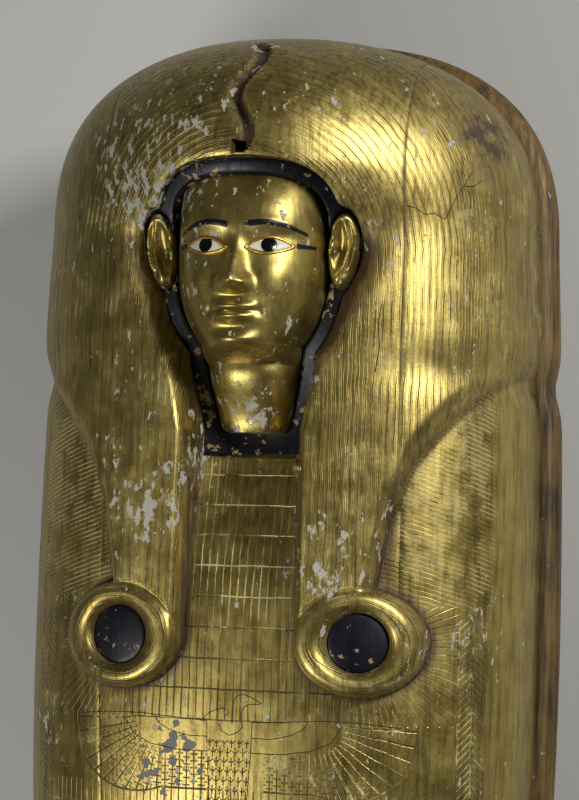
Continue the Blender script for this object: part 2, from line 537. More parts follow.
def body_lines(n, place):
    """Beads, feathers and scales over the body, from the chest down to the feet."""
    wander = n("TexNoise", place, 1000 / LINE_WANDER, 3, 0.5)
    wander = n("Math:MULTIPLY_ADD", wander, LINE_SWAY, -LINE_SWAY / 2)
    across, along = (n("Math:ADD", n("Attribute", attribute_name=key), wander) for key in ("across", "along"))
    side = n("Math:ABSOLUTE", across)

    def field(pattern, ys, sides, soft=1.0, over=side):
        """A pattern kept within bounds along the case and to the sides."""
        inside = n("Math:MULTIPLY", between(n, along, *ys), between(n, over, *sides, soft))
        return n("Math:MULTIPLY", pattern, inside)

    # rows of long beads over the chest, and again under the bird
    rods = stroke(n, across, ROD, ROD_CUT, n("MapRange", along, *RODS_FADE, 0.8, 0.2))
    beads = n("Math:MAXIMUM", stroke(n, n("Math:ADD", along, ROW / 2 - WINGS_Y), ROW, ROW_CUT), rods)
    parts = [field(beads, (WINGS_Y, FAR), (-FAR, CHEST_HALF)), field(beads, LOW_ROWS, (-FAR, FLANK))]
    # the same rods turned round each curl
    turn = n("Math:ARCTAN2", n("Math:SUBTRACT", along, CURL_Y), n("Math:SUBTRACT", side, CURL_X))
    fan = stroke(n, n("Math:MULTIPLY", turn, FAN_RADIUS), ROD, ROD_CUT, 0.8)
    parts.append(field(fan, (WINGS_Y, FAN_TOP), (CHEST_HALF, FLANK)))
    # fine slanting lines over the shoulders
    slant = stroke(n, n("Math:MULTIPLY_ADD", side, SLANT_LEAN, along), SLANT, SLANT_CUT)
    parts.append(field(slant, (FAN_TOP, FAR), SLANT_SIDES, SLANT_SOFT))
    # a wing on each side: rods under a plain arm, fanning out beyond the bend, cut into barbs
    out = n("Math:MAXIMUM", n("Math:SUBTRACT", side, WING_BEND), 0)
    down = n("Math:SUBTRACT", WINGS_Y, along)
    radius = n("Math:SQRT", n("Math:MULTIPLY_ADD", out, out, n("Math:MULTIPLY", down, down)))
    bent = n("Math:ARCTAN2", out, down)
    quill = n("Math:MULTIPLY_ADD", bent, WING_QUILL, n("Math:MINIMUM", side, WING_BEND))
    barb = n("Math:MULTIPLY_ADD", n("Math:FLOOR", n("Math:DIVIDE", quill, ROD)), BARB_SHIFT, radius)
    feather = n("Math:MAXIMUM", stroke(n, quill, ROD, ROD_CUT), stroke(n, barb, BARB, BARB_CUT, 0.8))
    reach = n("MapRange", out, 0, WING_RUN, WING_REACH, WING_TIP)
    within = n("MapRange", n("Math:SUBTRACT", reach, radius), 0, 1, 0, 1)
    feather = n("Math:MULTIPLY", feather, n("Math:MULTIPLY", within, between(n, radius, WING_ARM, FAR)))
    wing = n("Math:MAXIMUM", feather, single(n, radius, reach, RAIL_HALF))
    parts.append(field(wing, (WING_LOW, WINGS_Y), (WING_IN, FAR)))
    # round scales on the bird's trunk
    row = n("Math:FLOOR", n("Math:DIVIDE", along, SCALE_TALL))
    shifted = n("Math:MULTIPLY_ADD", row, SCALE_WIDE / 2, across)
    scale_x = n("Math:SUBTRACT", n("Math:FRACT", n("Math:DIVIDE", shifted, SCALE_WIDE)), 0.5)
    scale_y = n("Math:MULTIPLY_ADD", n("Math:MULTIPLY", scale_x, scale_x), -SCALE_SAG, along)
    tips = stroke(n, scale_y, SCALE_TALL, SCALE_CUT)
    scales = n("Math:MAXIMUM", tips, stroke(n, shifted, SCALE_WIDE, SCALE_SIDE_CUT))
    parts.append(field(scales, TRUNK_Y, TRUNK_X, over=across))
    # a herringbone strip along the flank, between rails
    middle = FLANK + FLANK_WIDE
    chevron = n("Math:ABSOLUTE", n("Math:SUBTRACT", side, middle))
    chevron = n("Math:MULTIPLY_ADD", chevron, CHEVRON_LEAN, along)
    strip = n("Math:MULTIPLY", stroke(n, chevron, CHEVRON, ROW_CUT),
              between(n, side, FLANK + 1, middle + FLANK_WIDE - 1))
    for rail in (FLANK, middle, middle + FLANK_WIDE):
        strip = n("Math:MAXIMUM", strip, single(n, side, rail, RAIL_HALF))
    parts.append(n("Math:MULTIPLY", strip, between(n, along, -FAR, FLANK_TOP)))
    # long folded feathers down the legs, beside a bare band between two rails
    quills, barbs = (n("Math:MULTIPLY_ADD", along, lean, side) for lean in (QUILL_LEAN, LEG_BARB_LEAN))
    legs = n("Math:MAXIMUM", stroke(n, quills, QUILL, QUILL_CUT), stroke(n, barbs, ROD, ROD_CUT, 0.6))
    parts.append(field(legs, LEGS, LEG_SIDES))
    for rail in LEG_RAILS:
        parts.append(n("Math:MULTIPLY", single(n, side, rail, LEG_RAIL_HALF), between(n, along, *LEGS)))
    total = parts[0]
    for part in parts[1:]:
        total = n("Math:MAXIMUM", total, part)
    worn = n("MapRange", n("TexNoise", place, 1000 / LINE_WORN, 3, 0.5), 0.34, 0.48, 0.3, 1)
    return n("Math:MULTIPLY", total, worn)


GOLD_HAIR = gild("gilded_hair", hair_lines, flaking=0.88, wear=1, pale_from=FAR)
GOLD_BODY = gild("gilded_body", body_lines, flaking=0.895, wear=0.9, pale_from=300)
# Bare wood: sawn and adzed, never painted. It gives matt brown streaks along the planks, without chips.
BARE = streaked("bare_wood", ("#96754C", "#57391F", "#57391F"), rough=0.6, metal=0, chips=2, chip_size=16)


def lid_top(y, grown=0, side=0):
    """Height of the lid's ridge over its rim."""
    crown = (HEAD_HEIGHT + grown) * rounded((y - PEAK_Y) / (CROWN_END + side - PEAK_Y), END_POWER)
    upper = mix(CHEST_HEIGHT, HEAD_HEIGHT, ease((y - CHEST_Y) / (PEAK_Y - CHEST_Y)))
    middle = mix(SHIN_HEIGHT, CHEST_HEIGHT, ease((y - SHIN_Y) / (CHEST_Y - SHIN_Y)))
    lower = mix(TOE_HEIGHT, SHIN_HEIGHT, ease((y - TOE_Y) / (SHIN_Y - TOE_Y)))
    rest = np.where(y > CHEST_Y, upper, np.where(y > SHIN_Y, middle, lower)) + grown
    return np.where(y > PEAK_Y, crown, rest)


def vault(x, y, side=0, top=0, foot=0, hood=0, dip=0, deep=0):
    """Height of a vaulted skin over the plan, grown by side outwards and by top upwards."""
    half = np.maximum(plan_half(y, side, foot), 1e-6)
    height = lid_top(y, top - deep * ease((y - CHEST_Y) / (DIP_Y - CHEST_Y)), side)
    swell = hood / HEAD_HEIGHT * bell(x, HOOD_REACH) * ease((y - HOOD_FROM) / HOOD_RUN)
    throat = dip * bell(x, DIP_REACH) * bell(y - DIP_Y, DIP_LENGTH)
    return RIM + (height * (1 + swell) - throat) * rounded(np.abs(x) / half, POWER)


def lip(d, r):
    """How far an edge rounded by r lies below its flat top, d in from the edge."""
    return r - np.sqrt(np.clip(r * r - np.clip(r - d, 0, r) ** 2, 0, None))


def off_polygon(x, y, corners):
    """Signed distance from a closed outline, negative inside."""
    starts = np.asarray(corners, float)
    best, inside = np.full(np.shape(x), 1e18), np.zeros(np.shape(x), bool)
    for (ax, ay), (bx, by) in zip(starts, np.roll(starts, -1, axis=0)):
        ex, ey = bx - ax, by - ay
        length = ex * ex + ey * ey
        if length < 1e-12:
            continue
        t = np.clip(((x - ax) * ex + (y - ay) * ey) / length, 0, 1)
        best = np.minimum(best, (x - ax - t * ex) ** 2 + (y - ay - t * ey) ** 2)
        inside ^= ((ay > y) != (by > y)) & (x < ax + (y - ay) * ex / (ey if ey else 1))
    return np.where(inside, -1, 1) * np.sqrt(best)


def off_oval(p, q, wide, tall):
    """Distance from an oval of half sizes wide and tall, for a place given in units of them."""
    radius = np.maximum(np.hypot(p, q), 1e-6)
    return (radius - 1) / np.maximum(np.hypot(p / wide, q / tall) / radius, 1 / (wide + tall))


def face_edge(y):
    """Half width of the face and neck at y, in face units from the brow."""
    full = FACE_HALF / UNIT
    high = full * rounded(y / HAIRLINE, TOP_POWER)
    jaw = full * np.sqrt(1 - (np.clip(JAW_START - y, 0, JAW_LENGTH) / JAW_LENGTH) ** JAW_POWER)
    neck = mix(NECK_HALF, NECK_LOW_HALF, ease((NECK_FROM - y) / NECK_RUN)) / UNIT
    neck = neck - lip(np.clip(y - FACE_LOW, 0, None), NECK_ROUND)
    return np.where(y > 0, high, np.maximum(jaw, neck))


face_rows = np.concatenate([np.linspace(FACE_LOW, 0, OUTLINE_LOW_STEPS),
                            HAIRLINE * np.sin(np.linspace(0, math.pi / 2, OUTLINE_TOP_STEPS))[1:]])
half_face = np.stack([face_edge(face_rows) * UNIT, BROW_Y + face_rows * UNIT], 1)
FACE_OUTLINE = np.concatenate([half_face, half_face[-2::-1] * (-1, 1)])


def ear_spot(x, y):
    """Place on an ear, from -1 to 1 across and along it, and across its outline, which narrows below."""
    dx, dy = np.abs(x) - EAR_X, y - EAR_Y
    p = (dx * math.cos(EAR_LEAN) - dy * math.sin(EAR_LEAN)) / EAR_HALF
    q = (dx * math.sin(EAR_LEAN) + dy * math.cos(EAR_LEAN)) / EAR_LONG
    return p, q, p / (1 + EAR_NARROWS * (np.clip(q - EAR_NARROWS_AT, -1, 1) - 1))


def off_ear(x, y):
    _, q, outline = ear_spot(x, y)
    return off_oval(outline, q, EAR_HALF, EAR_LONG)


def off_frame(x, y):
    """Distance from the opening in the wig: round the border of the face, the ears and the bar."""
    border, ear = off_polygon(x, y, FACE_OUTLINE) - BORDER, off_ear(x, y) - EAR_MARGIN
    blend = np.clip(0.5 + 0.5 * (ear - border) / EAR_FILLET, 0, 1)
    border = mix(ear, border, blend) - EAR_FILLET * blend * (1 - blend)
    border = np.maximum(border, NECK_END - y)
    bar = np.maximum(np.abs(x) - BAR_HALF, np.maximum(BAR_END - y, y - NECK_END - BORDER))
    return np.minimum(border, bar)


def beside_face(x, y):
    """How much of the wig's height is left where it falls away to the border of the face."""
    x, y = np.broadcast_arrays(np.abs(x), y)
    share = np.ones(x.shape)
    near = (x < SLOPE_X) & (y > BAR_END - SLOPE_LOW) & (y < SLOPE_FROM)
    reach = mix(SLOPE_LOW, SLOPE_HIGH, ease((y[near] - SLOPE_WIDENS_FROM) / SLOPE_WIDENS_RUN))
    fall = SLOPE_SHARE * ease((SLOPE_FROM - y[near]) / SLOPE_FADE)
    share[near] = 1 - fall * (1 - np.clip(off_frame(x[near], y[near]) / reach, 0, 1)) ** ROLL_POWER
    return share


def past_edge(x, y):
    """Distance up from the foot of the wig's lower edge; under a lappet the edge lies lower."""
    x = np.abs(x)
    run = np.clip(x - EDGE_OUTER, 0, EDGE_RUN)
    climb = EDGE_LOW + EDGE_SLOPE * run * (1 - run / (2 * EDGE_RUN))
    under = mix(EDGE_HIGH, EDGE_LOW, (x - EDGE_INNER) / (EDGE_OUTER - EDGE_INNER))
    edge = np.where(x < EDGE_INNER, EDGE_HIGH, np.where(x < EDGE_OUTER, under, climb))
    lower = EDGE_UNDER * (1 - ease((x - EDGE_OUTER - EDGE_UNDER_FROM) / EDGE_UNDER_RUN))
    return (y - edge) / np.hypot(1, EDGE_SLOPE * (1 - run / EDGE_RUN)) + ROLL_FOOT + lower


def wig_share(x, y):
    """How much of the wig's height stands at a place: 0 on the body, 1 on the hair, a soft roll between."""
    rolled = 1 - (1 - np.clip(past_edge(x, y) / ROLL, 0, 1)) ** ROLL_POWER
    middle = np.where(y > GAP_TOP, 1, ease((np.abs(x) - GAP_HALF) / GAP_STEP) * (y > EDGE_HIGH))
    return np.where(np.abs(x) < EDGE_INNER, middle, rolled) * beside_face(x, y)


def skin(x, y):
    """The lid's outer skin, wig and body."""
    share = wig_share(x, y)
    return vault(x, y, WIG_SIDE * share, WIG_RISE * share, 0, HOOD * share, DIP * (1 - share))


def hollow(x, y):
    """The lid's hollow underside."""
    inside = (y > -HALF_LENGTH + LID_FOOT) & (y < CROWN_END - WALL)
    return np.where(inside, vault(x, y, -WALL, -LID_THICK, LID_FOOT, 0, DIP, HEAD_DEEPER), RIM)


def off_groove(x, y):
    """Distance from the middle of the winding groove."""
    t = np.clip((y - GROOVE_FROM) / (GROOVE_TO - GROOVE_FROM), 0, 1)
    return np.abs(x - GROOVE_SWAY * np.sin(GROOVE_BENDS * math.pi * t))


def groove(x, y):
    """Depth of the groove, with a rippled floor."""
    t = (y - GROOVE_FROM) / (GROOVE_TO - GROOVE_FROM)
    off = off_groove(x, y)
    side = np.sqrt(np.clip(1 - (off / (GROOVE_WIDE / 2 + 1)) ** 4, 0, 1))
    deep = GROOVE_DEEP + RIPPLE * np.sin(y / RIPPLE_RUN) * bell(off, RIPPLE_WIDE)
    ends = ease(t / GROOVE_START) * ease((1 - t) / GROOVE_FINISH)
    return np.where((t > 0) & (t < 1), deep * side * ends, 0)


def off_curl(x, y):
    return off_oval((x - CURL_X) / CURL_HALF, (y - CURL_Y) / CURL_LONG, CURL_HALF, CURL_LONG)


def off_disc(x, y):
    return np.hypot(x - CURL_X, y - CURL_Y) - DISC


def off_lappet(x, y):
    return np.maximum(np.minimum(off_polygon(x, y, STRIP), off_curl(x, y)), -off_disc(x, y))


def joint_x(y):
    """Place of the joint between the middle plank and a side plank."""
    return mix(JOINT_FOOT, JOINT_CHEST, np.clip((y + HALF_LENGTH) / (SHOULDER_Y + HALF_LENGTH), 0, 1))


def worn_joint(x, y):
    """How far the rubbed edges of a plank joint lie below the skin."""
    return JOINT_WORN * np.clip(1 - np.abs(np.abs(x) - joint_x(y)) / JOINT_WORN_WIDE, 0, 1) ** 2


GIRTH_STEPS, CREST_STEPS, STRAND_Y = 40, 400, 745
HAIR_FROM, UNDER_FROM = 0.15, -0.02
crest_y = np.linspace(STRAND_Y, CROWN_END + WIG_SIDE, CREST_STEPS)
crest_steps = np.hypot(np.diff(crest_y), np.diff(lid_top(crest_y, 0, WIG_SIDE)))
crest_run = np.concatenate([[0], np.cumsum(crest_steps)])


def girth(x, y):
    """Length round the lid's section from its middle to x."""
    half, height = np.maximum(plan_half(y), 1e-6), lid_top(y)
    end = np.arccos(np.clip(np.abs(x) / half, 0, 1) ** (POWER / 2))
    angle = math.pi / 2 + (end - math.pi / 2)[..., None] * np.linspace(0, 1, GIRTH_STEPS)
    px = half[..., None] * np.abs(np.cos(angle)) ** (2 / POWER)
    pz = height[..., None] * np.abs(np.sin(angle)) ** (2 / POWER)
    return np.sign(x) * np.hypot(np.diff(px), np.diff(pz)).sum(-1)


# amounts of dirt, how wide it lies, and where
LAPPET_DIRT, LAPPET_DIRT_WIDE, LAPPET_ZONE_HALF, LAPPET_ZONE, LAPPET_PAST = 0.8, 7, 260, (200, 560), 20
EDGE_DIRT, EDGE_DIRT_WIDE, EDGE_DIRT_RUN = 0.45, 6, 20
SUNK_FROM, SUNK_RUN, SUNK_DIRT, GROOVE_DIRT, GROOVE_WALL_DIRT, GROOVE_WALL_WIDE = 0.6, 7, 0.3, 0.6, 0.4, 3.5
GROOVE_ZONE_HALF, GROOVE_ZONE_FROM, GROOVE_WALL = 30, 850, 7
JOINT_DIRT_WIDE, JOINT_DIRT_FROM, JOINT_LONG_BREAKS, JOINT_SHORT_BREAKS = 1.3, 500, 31, 8.7
RUST_LEFT, RUST_RIGHT, RUST_WIDE, RUST_FROM, RUST_RUN, RUST_FADE = 1.4, 0.6, 24, 570, 90, 60
TRAIL, TRAIL_WIDE, TRAIL_START, TRAIL_FINISH = 1.2, 10, 8, 6


def dirt(x, y, z):
    """Where dirt lies on the lid: beside lappets, at edges, in sunk places, in the joint and by the face."""
    side, past = np.abs(x), past_edge(x, y)
    near = (side < LAPPET_ZONE_HALF) & (y > LAPPET_ZONE[0]) & (y < LAPPET_ZONE[1]) & (past < LAPPET_PAST)
    lappet = LAPPET_DIRT * bell(np.where(near, np.abs(off_lappet(side, y)), FAR), LAPPET_DIRT_WIDE)
    edge = EDGE_DIRT * bell(past - 1, EDGE_DIRT_WIDE) * ease((side - EDGE_OUTER) / EDGE_DIRT_RUN)
    walls = GROOVE_DIRT + GROOVE_WALL_DIRT * bell(off_groove(x, y) - GROOVE_WALL, GROOVE_WALL_WIDE)
    in_groove = (side < GROOVE_ZONE_HALF) & (y > GROOVE_ZONE_FROM)
    sunk = np.clip((skin(x, y) - z - SUNK_FROM) / SUNK_RUN, 0, 1) * np.where(in_groove, walls, SUNK_DIRT)
    broken = 0.4 + 0.6 * np.sin(y / JOINT_LONG_BREAKS) + 0.5 * np.sin(y / JOINT_SHORT_BREAKS)
    joint = bell(side - joint_x(y), JOINT_DIRT_WIDE) * (0.3 + 0.6 * ease(broken))
    joint = joint * (y > JOINT_DIRT_FROM) * (x > 0)
    rust = np.where(x > 0, RUST_LEFT, RUST_RIGHT) * bell(np.clip(off_frame(x, y), 0, None), RUST_WIDE)
    rust = rust * ease((y - RUST_FROM) / RUST_RUN) * ease((SLOPE_FROM - y) / RUST_FADE)
    trail = TRAIL * bell(off_groove(x, y), TRAIL_WIDE)
    trail = trail * (y > GROOVE_FROM + TRAIL_START) * (y < GROOVE_TO + TRAIL_FINISH)
    return np.maximum.reduce([lappet, edge, sunk, joint, rust, trail])


def note(piece, **values):
    """Gives each corner of a piece named values for its material."""
    for name, value in values.items():
        piece.data.attributes.new(name, "FLOAT", "POINT").data.foreach_set("value", value.astype(np.float32))


def mark(piece):
    """Gives a lid piece its places for the cut patterns and its dirt, and parts hair, body and underside."""
    x, y, z = places(piece)
    across = girth(x, y)
    strand = np.hypot(across, np.interp(y, crest_y, crest_run, left=0))
    note(piece, across=across, along=y, strand=strand, recess=dirt(x, y, z))
    middle, facing = (np.empty(3 * len(piece.data.polygons)) for _ in range(2))
    piece.data.polygons.foreach_get("center", middle)
    piece.data.polygons.foreach_get("normal", facing)
    on_wig = wig_share(middle[0::3] / MM, middle[1::3] / MM) > HAIR_FROM
    kind = np.where(facing[2::3] < UNDER_FROM, 2, np.where(on_wig, 0, 1))
    piece.data.polygons.foreach_set("material_index", kind.astype(np.int32))


# rows of a plank: coarse over the legs, even over the chest and wig, close at the crown
LEG_STEP, CHEST_STEP, EVEN_FROM, CROWN_CLOSE, CROWN_ROWS, CROWN_CROWD = 8, 3, 60, 55, 28, 1.8
CENTRE_COLUMNS, UNDER_COLUMNS, CREST_FROM, CREST_RUN, CENTRE_SHORT = 170, 30, 930, 50, 0.3


def plank_rows(end):
    leg_rows = round((EVEN_FROM - FOOT_BLOCK_Y) / LEG_STEP)
    legs = np.linspace(FOOT_BLOCK_Y + SEAM, EVEN_FROM, leg_rows + 1)[:-1]
    even = np.arange(EVEN_FROM, end - CROWN_CLOSE, CHEST_STEP)
    left = 1 - np.linspace(0, 1, CROWN_ROWS + 1)[1:]
    crown = even[-1] + (end - even[-1]) * (1 - left ** CROWN_CROWD)
    return np.concatenate([legs, even, crown])


centre_y = plank_rows(CROWN_END + WIG_SIDE - CENTRE_SHORT)


def centre_place(i, j):
    top = i <= CENTRE_COLUMNS
    under = 1 - 2 * (i - CENTRE_COLUMNS - 1) / UNDER_COLUMNS
    s = np.clip(np.where(top, 2 * i / CENTRE_COLUMNS - 1, under), -1, 1)
    y = centre_y[j]
    s = mix(s, np.sin(math.pi / 2 * s), ease((y - CREST_FROM) / CREST_RUN))
    x = s * np.minimum(joint_x(y) - SEAM, plan_half(y, WIG_SIDE * (y > EDGE_HIGH)))
    worn = OPENING_WORN * (1 - np.clip(off_frame(x, y) / OPENING_WORN_WIDE, 0, 1)) ** 2
    z = np.where(top, skin(x, y) - groove(x, y) - worn - worn_joint(x, y), hollow(x, y))
    last = i == i.max()
    return np.where(last, x[:, :1], x), y, np.where(last, z[:, :1], z)


centre = shaped_grid("lid_centre", CENTRE_COLUMNS + UNDER_COLUMNS + 2, len(centre_y) - 1, centre_place)
close(centre)
turns = np.linspace(0, 2 * math.pi, OPENING_SIDES, endpoint=False)
inner, outer = (np.full(OPENING_SIDES, size) for size in (OPENING_LEAST, OPENING_MOST))
for _ in range(HALVINGS):
    half = (inner + outer) / 2
    within = off_frame(half * np.cos(turns), OPENING_Y + half * np.sin(turns)) < 0
    inner, outer = np.where(within, half, inner), np.where(within, outer, half)
pick()
bpy.ops.mesh.primitive_circle_add(vertices=OPENING_SIDES, fill_type="NGON")
opening = bpy.context.object
put(opening, inner * np.cos(turns), OPENING_Y + inner * np.sin(turns),
    np.full(OPENING_SIDES, FACE_SEAT - OPENING_SINK))
edit(opening,
     lambda: bpy.ops.mesh.extrude_region_move(TRANSFORM_OT_translate={"value": (0, 0, OPENING_TALL * MM)}),
     lambda: bpy.ops.mesh.normals_make_consistent(inside=False))
cut(centre, opening)
cut(centre, block_cutter((0, GROOVE_FROM + MORTISE / 2, RIM + HEAD_HEIGHT + MORTISE_TALL / 2),
                         (MORTISE, MORTISE, MORTISE_TALL)))
smooth(SMOOTH)
mark(centre)
dress(centre, "lid", "gilded_wood", ["lid_centre_plank"], GOLD_HAIR, GOLD_BODY, BARE)

# Lid, side planks: two planks that carry the vault down to the rim, edge-joined to the middle plank
# with dowels. They hold the sides of the wig, the shoulders and the flanks, gilded over the same ground.
SIDE_COLUMNS, RIM_COLUMNS, SIDE_UNDER = 110, 4, 24
SIDE_END = CROWN_Y + (CROWN_LENGTH + WIG_SIDE) * rounded(JOINT_CHEST / (HEAD_HALF + WIG_SIDE), END_POWER)
side_y = plank_rows(SIDE_END)


def arc_start(first, half):
    """Angle at which a section of a half width passes the plank's first place."""
    return np.arccos(np.clip(first / half, 0, 1) ** (POWER / 2))


def side_plank_place(sign, i, j):
    y = side_y[j]
    top, rim = i <= SIDE_COLUMNS, (i > SIDE_COLUMNS) & (i <= SIDE_COLUMNS + RIM_COLUMNS)
    first = np.minimum(joint_x(y) + SEAM, plan_half(y, WIG_SIDE) - 1e-3)
    left = 1 - np.clip(i / SIDE_COLUMNS, 0, 1)
    half = plan_half(y)
    x = half * np.cos(arc_start(first, half) * left) ** (2 / POWER)
    half = plan_half(y, WIG_SIDE * wig_share(x, y))
    x = half * np.cos(arc_start(first, half) * left) ** (2 / POWER)
    z = np.maximum(skin(x, y) - worn_joint(x, y), RIM)
    outer = x[:, SIDE_COLUMNS:SIDE_COLUMNS + 1]
    inner = np.maximum(np.minimum(np.maximum(plan_half(y, -WALL, LID_FOOT), 0), outer), first)
    rim_x = mix(outer, inner, np.clip((i - SIDE_COLUMNS) / RIM_COLUMNS, 0, 1))
    inward = np.clip((i - SIDE_COLUMNS - RIM_COLUMNS) / SIDE_UNDER, 0, 1)
    under_x = inner * np.cos(arc_start(first, np.maximum(inner, 1e-6)) * inward) ** (2 / POWER)
    under_x = np.maximum(under_x, first)
    x = np.where(top, x, np.where(rim, rim_x, under_x))
    z = np.where(top, z, np.where(rim, RIM, hollow(under_x, y)))
    last = i == i.max()
    return sign * np.where(last, x[:, :1], x), y, np.where(last, z[:, :1], z)


for sign, side in SIDES:
    plank = shaped_grid(f"lid_side_{side}", SIDE_COLUMNS + RIM_COLUMNS + SIDE_UNDER + 1, len(side_y) - 1,
                        partial(side_plank_place, sign))
    close(plank)
    mark(plank)
    dress(plank, "lid", "gilded_wood", [f"lid_{side}_plank"], GOLD_HAIR, GOLD_BODY, BARE)

# Lid, foot block: one solid piece that rises over the toes and closes the lid's foot end, with a
# rounded front edge. It is glued across the ends of the three planks and gilded with them.
BLOCK_COLUMNS, BLOCK_UNDER, BLOCK_ROWS, TOE_EDGE = 120, 40, 30, 10
block_y = mix(-HALF_LENGTH, FOOT_BLOCK_Y - SEAM, np.linspace(0, 1, BLOCK_ROWS + 1) ** FOOT_CROWD)


def block_place(i, j):
    y = block_y[j]
    near = np.clip(1 - (y + HALF_LENGTH) / TOE_EDGE, 0, 1)
    shrink = TOE_EDGE * (1 - np.sqrt(1 - near ** 2))
    half = plan_half(y) - shrink
    angle = math.pi * (1 - np.clip(i / BLOCK_COLUMNS, 0, 1))
    cosine = np.cos(angle)
    x = half * np.sign(cosine) * np.abs(cosine) ** (2 / POWER)
    z = RIM + (lid_top(y) - shrink) * np.abs(np.sin(angle)) ** (2 / POWER)
    under = i > BLOCK_COLUMNS
    under_x = half * np.sin(math.pi / 2 * (1 - 2 * (i - BLOCK_COLUMNS) / BLOCK_UNDER))
    return np.where(under, under_x, x), y, np.where(under, np.maximum(hollow(under_x, y), RIM), z)


block = shaped_grid("lid_foot", BLOCK_COLUMNS + BLOCK_UNDER, BLOCK_ROWS, block_place)
close(block)
mark(block)
dress(block, "lid", "gilded_wood", ["lid_foot_block"], GOLD_HAIR, GOLD_BODY, BARE)

# Lappets: the two front falls of the wig, carved apart and glued to the chest. Each is a gilded strip
# with rounded edges that ends in an outward curl, a fat ring round a dark disc.
LAPPET_RISE, LAPPET_ROLL, LAPPET_BOX, LAPPET_CELL = 34, 18, ((55, 230), (225, 524)), 2
CURL_LOW, CURL_HIGH, CURL_BLEND = 16, 24, 10
LET_IN, SNAP_STEPS, PROBE = 3, 3, 0.05
LAPPET_SEAM_DIRT, LAPPET_SEAM_PAST = 3.5, 18
LAPPET_LEDGE, STRIP_ON, STRIP_OUT = 2, 200, 60
LONG_STRIP = [(EDGE_INNER, EDGE_HIGH + STRIP_ON), (EDGE_OUTER + STRIP_OUT, EDGE_LOW + STRIP_ON)] + STRIP[1:]


def snapped(x, y, off):
    """Moves the corners of a grid that lie just outside an outline onto it."""
    inside = off(x, y) < 0
    beside = np.zeros_like(inside)
    beside[1:] |= inside[:-1]
    beside[:-1] |= inside[1:]
    beside[:, 1:] |= inside[:, :-1]
    beside[:, :-1] |= inside[:, 1:]
    beside &= ~inside
    for _ in range(SNAP_STEPS):
        gx = (off(x + PROBE, y) - off(x - PROBE, y)) / (2 * PROBE)
        gy = (off(x, y + PROBE) - off(x, y - PROBE)) / (2 * PROBE)
        step = np.where(beside, off(x, y), 0) / np.maximum(np.hypot(gx, gy), 1e-3)
        x, y = x - step * gx, y - step * gy
    return x, y


def plate(name, box, cell, off, top, seat, sign=1, angle=SMOOTH, values=None):
    """A solid over an outline: a grid trimmed to it, with a shaped top and walls down to its seat."""
    low, high = box
    columns, rows = (max(2, round((high[k] - low[k]) / cell)) for k in (0, 1))

    def place(i, j):
        x, y = snapped(mix(low[0], high[0], i / columns), mix(low[1], high[1], j / rows), off)
        return sign * x, y, top(x, y)

    piece = shaped_grid(name, columns, rows, place)
    x, y, _ = places(piece)
    note(piece, **{key: value(sign * x, y) for key, value in (values or {}).items()})
    for kind in (piece.data.polygons, piece.data.edges):
        kind.foreach_set("select", np.zeros(len(kind), bool))
    piece.data.vertices.foreach_set("select", off(sign * x, y) > PROBE)
    bpy.ops.object.mode_set(mode="EDIT")
    bpy.ops.mesh.delete(type="VERT")
    bpy.ops.mesh.select_all(action="SELECT")
    bpy.ops.mesh.extrude_region_move(TRANSFORM_OT_translate={"value": (0, 0, -MM)})
    bpy.ops.object.mode_set(mode="OBJECT")
    x, y, z = places(piece)
    pushed = np.empty(len(z), bool)
    piece.data.vertices.foreach_get("select", pushed)
    put(piece, x, y, np.where(pushed, np.minimum(seat(sign * x, y), z), z))
    close(piece, angle)
    return piece


def lappet_top(x, y):
    strip_in = np.clip(-np.minimum(off_polygon(x, y, LONG_STRIP), off_curl(x, y)), 0, None)
    strip = LAPPET_RISE * (1 - (1 - np.clip((strip_in + LAPPET_LEDGE) / LAPPET_ROLL, 0, 1)) ** ROLL_POWER)
    across = np.clip(-off_curl(x, y), 0, None) / np.clip(off_disc(x, y) - off_curl(x, y), 1, None)
    ring = CURL_LOW + CURL_HIGH * np.sqrt(np.clip(1 - (2 * across - 1) ** 2, 0, 1))
    return vault(x, y) + mix(strip, ring, ease(-off_curl(x, y) / CURL_BLEND))


def lappet_strand(x, y):
    """Strands run down the strip and then round the curl."""
    return np.where(off_curl(x, y) < 0, -off_curl(x, y), girth(x, y))


def lappet_dirt(x, y):
    return bell(off_lappet(x, y), LAPPET_SEAM_DIRT) * (past_edge(x, y) < LAPPET_SEAM_PAST)


for sign, side in SIDES:
    lappet = plate(f"lappet_{side}_fall", LAPPET_BOX, LAPPET_CELL, off_lappet, lappet_top,
                   lambda x, y: vault(x, y, dip=DIP) - LET_IN, sign,
                   values={"across": lambda x, y: sign * girth(x, y), "along": lambda x, y: y,
                           "strand": lappet_strand, "recess": lappet_dirt})
    dress(lappet, "lid", "gilded_wood", [f"lappet_{side}"], GOLD_HAIR)

# Curl discs: two round dark stones, one glued into the eye of each curl. Each is cut to a slight dome
# and rubbed smooth, and stands a little lower than the ring round it.
DISC_RISE, DISC_DOME, DISC_BOX_HALF = 25, 3, 36
DISC_BOX = [(CURL_X + s * DISC_BOX_HALF, CURL_Y + s * DISC_BOX_HALF) for s in (-1, 1)]
# Dark inlay: black paste and stone, rubbed smooth. It gives a soft blue-black gloss with chipped spots
# where the brown bedding shows.
INLAY = streaked("dark_inlay", ("#0B0C16", "#04040A", "#8C7A52"), rough=0.3, metal=0, chips=0.86,
                 chip_size=12)
INLAY.node_tree.nodes["Principled BSDF"].inputs["Specular IOR Level"].default_value = 0.3


def disc_top(x, y):
    return vault(x, y) + DISC_RISE + DISC_DOME * np.sqrt(np.clip(-off_disc(x, y) / DISC, 0, 1))


for sign, side in SIDES:
    disc = plate(f"disc_{side}", DISC_BOX, LAPPET_CELL, off_disc, disc_top,
                 lambda x, y: vault(x, y) - LET_IN, sign)
    dress(disc, "lid", "dark_inlay", [f"curl_disc_{side}"], INLAY)

